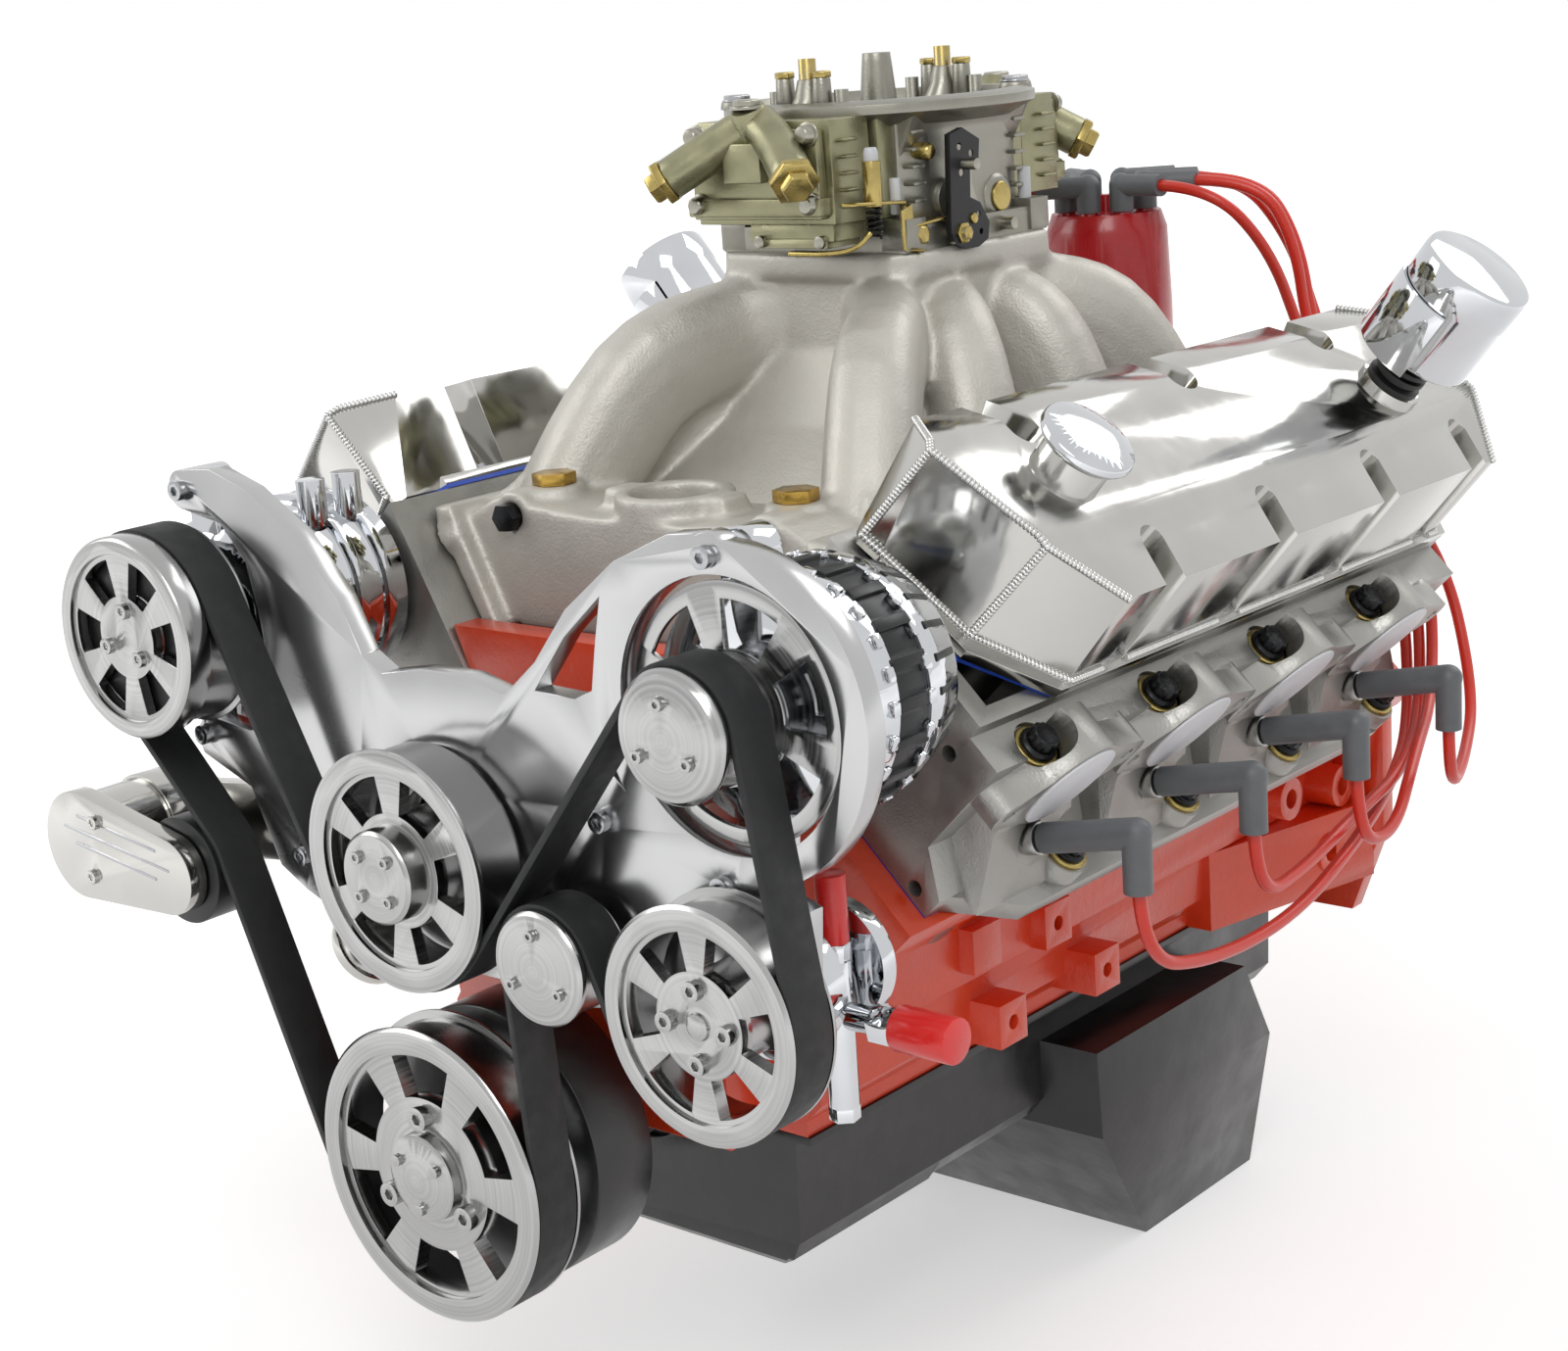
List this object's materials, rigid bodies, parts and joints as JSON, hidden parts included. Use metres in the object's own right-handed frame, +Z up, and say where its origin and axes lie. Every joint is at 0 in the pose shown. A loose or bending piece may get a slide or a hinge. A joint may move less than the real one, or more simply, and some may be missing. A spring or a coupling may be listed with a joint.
{
  "type": "v8 engine",
  "caption": "Dressed ninety-degree V8 petrol engine with polished serpentine front drive, four-barrel carburettor, distributor and kick-out oil pan.",
  "frame": {"origin": "crankshaft axis at the rear face of the block, in the mouth of the pilot bore", "axes": "+X to the engine's left side, +Y to the rear along the crankshaft, +Z up"},
  "size_m": [0.7264, 0.8127, 0.811],
  "materials": {
    "block_paint": "gloss enamel over cast iron",
    "inner_steel": "machined and forged steel",
    "piston_alloy": "machined",
    "black_paint": "satin black",
    "cast_alloy": "sand cast",
    "cover_paint": "gloss enamel",
    "polished_alloy": "polished",
    "gasket_blue": "matt",
    "zinc_body": "cast",
    "zinc_gold": "dichromate on zinc",
    "throttle_steel": "black oxide and zinc",
    "brass": "plain",
    "dist_alloy": "machined",
    "cap_red": "moulded",
    "rotor_black": "moulded",
    "boot_grey": "silicone",
    "lead_red": "silicone",
    "plug_steel": "plated, white ceramic",
    "bolt_black": "black oxide",
    "port_card": "adhesive film",
    "bolt_steel": "stainless",
    "chrome": "plated",
    "stator_black": "satin",
    "belt_rubber": "matt"
  },
  "bodies": {
    "engine": {"accessory_bracket": "polished_alloy", "alternator_case": "chrome", "alternator_stator": "stator_black", "bracket_bolts": "bolt_steel", "breathers": "chrome", "carburetor_base_plate": "zinc_body", "carburetor_body": "zinc_body", "compressor_body": "chrome", "connecting_rods": "inner_steel", "cylinder_head_left": "cast_alloy", "cylinder_head_right": "cast_alloy", "distributor_cap": "cap_red", "distributor_housing": "dist_alloy", "drive_belt": "belt_rubber", "engine_block": "block_paint", "fitting_caps": "cap_red", "fuel_bowls": "zinc_gold", "gaskets": "gasket_blue", "head_bolts": "bolt_black", "intake_manifold": "cast_alloy", "lead_boots": "boot_grey", "main_bearing_caps": "inner_steel", "oil_pan": "black_paint", "oil_pump": "inner_steel", "pipe_plugs": "brass", "pistons": "piston_alloy", "plug_lead_1": "lead_red", "plug_lead_2": "lead_red", "plug_lead_3": "lead_red", "plug_lead_4": "lead_red", "plug_lead_5": "lead_red", "plug_lead_6": "lead_red", "plug_lead_7": "lead_red", "plug_lead_8": "lead_red", "port_covers": "port_card", "pump_fittings": "chrome", "spark_plugs": "plug_steel", "steering_pump": "chrome", "tensioner_base": "polished_alloy", "timing_chain": "inner_steel", "timing_cover": "cover_paint", "valve_cover_left": "polished_alloy", "valve_cover_right": "polished_alloy", "valve_train": "inner_steel", "water_pump_housing": "polished_alloy"},
    "crank": {"crankshaft": "inner_steel", "harmonic_balancer": "black_paint", "crank_pulley": "polished_alloy"},
    "cam": {"camshaft": "inner_steel"},
    "rotor": {"distributor_rotor": "rotor_black"},
    "water_pump": {"water_pump_pulley": "polished_alloy"},
    "alternator": {"alternator_pulley": "polished_alloy"},
    "steering": {"steering_pulley": "polished_alloy"},
    "compressor": {"compressor_clutch": "polished_alloy"},
    "idler": {"idler_pulley": "polished_alloy"},
    "tensioner": {"tensioner_arm": "polished_alloy"},
    "tensioner_wheel": {"tensioner_pulley": "stator_black"},
    "throttle_front": {"throttle_shaft_primary": "throttle_steel"},
    "throttle_rear": {"throttle_shaft_secondary": "throttle_steel"},
    "filler_cap": {"oil_cap": "chrome"}
  },
  "joints": [
    {"name": "crank_turn", "type": "hinge", "parent": "engine", "child": "crank", "pos_m": [0, 0, 0], "axis": [0, 1, 0], "continuous": true, "deforming": ["connecting_rods"]},
    {"name": "cam_turn", "type": "hinge", "parent": "engine", "child": "cam", "pos_m": [0, -0.3, 0.1309], "axis": [0, 1, 0], "continuous": true},
    {"name": "rotor_turn", "type": "hinge", "parent": "engine", "child": "rotor", "pos_m": [0.011, -0.052, 0.382], "axis": [0, 0, 1], "continuous": true},
    {"name": "water_pump_turn", "type": "hinge", "parent": "engine", "child": "water_pump", "pos_m": [0, -0.745, 0.1818], "axis": [0, 1, 0], "continuous": true},
    {"name": "alternator_turn", "type": "hinge", "parent": "engine", "child": "alternator", "pos_m": [0.2189, -0.745, 0.2869], "axis": [0, 1, 0], "continuous": true},
    {"name": "steering_turn", "type": "hinge", "parent": "engine", "child": "steering", "pos_m": [0.2179, -0.745, 0.1342], "axis": [0, 1, 0], "continuous": true},
    {"name": "compressor_turn", "type": "hinge", "parent": "engine", "child": "compressor", "pos_m": [-0.2023, -0.745, 0.2964], "axis": [0, 1, 0], "continuous": true},
    {"name": "idler_turn", "type": "hinge", "parent": "engine", "child": "idler", "pos_m": [0.1091, -0.745, 0.1455], "axis": [0, 1, 0], "continuous": true},
    {"name": "tensioner_swing", "type": "hinge", "parent": "engine", "child": "tensioner", "pos_m": [-0.276, -0.745, 0.158], "axis": [0, 1, 0], "range_deg": [-8, 8], "stiffness_Nm_per_rad": 40, "deforming": ["drive_belt"]},
    {"name": "tensioner_wheel_turn", "type": "hinge", "parent": "tensioner", "child": "tensioner_wheel", "pos_m": [-0.193, -0.745, 0.151], "axis": [0, 1, 0], "continuous": true},
    {"name": "throttle_front_turn", "type": "hinge", "parent": "engine", "child": "throttle_front", "pos_m": [0, -0.322, 0.484], "axis": [1, 0, 0], "range_deg": [0, 80]},
    {"name": "throttle_rear_turn", "type": "hinge", "parent": "engine", "child": "throttle_rear", "pos_m": [0, -0.264, 0.484], "axis": [1, 0, 0], "range_deg": [0, 80]},
    {"name": "filler_cap_lift", "type": "slide", "parent": "engine", "child": "filler_cap", "axis": [0.6401, 0, 0.7683], "range_m": [0, 0.06]}
  ],
  "couplings": [
    {"joint": "cam_turn", "follows": "crank_turn", "ratio": 0.5},
    {"joint": "rotor_turn", "follows": "crank_turn", "ratio": -0.5},
    {"joint": "water_pump_turn", "follows": "crank_turn", "ratio": -1.2511},
    {"joint": "alternator_turn", "follows": "crank_turn", "ratio": 2.4141},
    {"joint": "steering_turn", "follows": "crank_turn", "ratio": 1.3778},
    {"joint": "compressor_turn", "follows": "crank_turn", "ratio": 1.4403},
    {"joint": "idler_turn", "follows": "crank_turn", "ratio": -2.6369},
    {"joint": "tensioner_wheel_turn", "follows": "crank_turn", "ratio": -2.4141},
    {"joint": "throttle_rear_turn", "follows": "throttle_front_turn", "ratio": 1}
  ]
}
